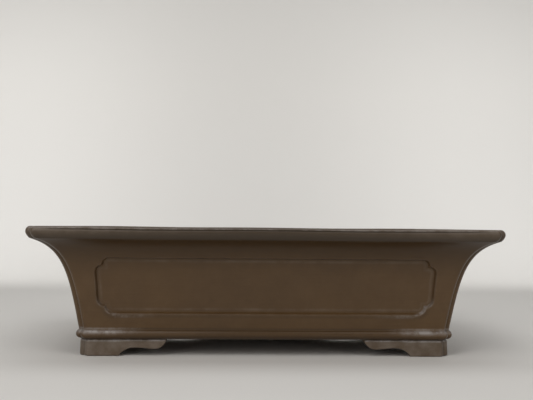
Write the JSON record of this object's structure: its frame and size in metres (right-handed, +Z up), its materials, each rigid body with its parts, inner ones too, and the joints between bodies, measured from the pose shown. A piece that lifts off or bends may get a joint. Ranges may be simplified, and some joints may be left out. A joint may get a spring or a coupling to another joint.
{
  "type": "bonsai pot",
  "caption": "Rectangular unglazed clay bonsai pot with flared walls, broad lip, stepped corners, sunk window panels, belt strip and cloud-cut corner feet.",
  "frame": {"origin": "on the ground, at the middle of the pot's footprint", "axes": "+Z up, +X along the pot's length to the viewer's right, -Y out of the front"},
  "size_m": [0.42, 0.32, 0.117],
  "materials": {
    "burnished_clay": "burnished, unglazed",
    "rubbed_clay": "burnished, with rubbed and slightly weathered edges",
    "raw_clay": "matt, unglazed and unburnished"
  },
  "bodies": {
    "root": {"floor_slab": "raw_clay", "wall_front": "burnished_clay", "wall_back": "burnished_clay", "wall_left": "burnished_clay", "wall_right": "burnished_clay", "lip_front": "rubbed_clay", "lip_back": "rubbed_clay", "lip_left": "rubbed_clay", "lip_right": "rubbed_clay", "belt_front": "burnished_clay", "belt_back": "burnished_clay", "belt_left": "burnished_clay", "belt_right": "burnished_clay", "foot_front_left": "rubbed_clay", "foot_front_right": "rubbed_clay", "foot_back_left": "rubbed_clay", "foot_back_right": "rubbed_clay"}
  },
  "joints": []
}
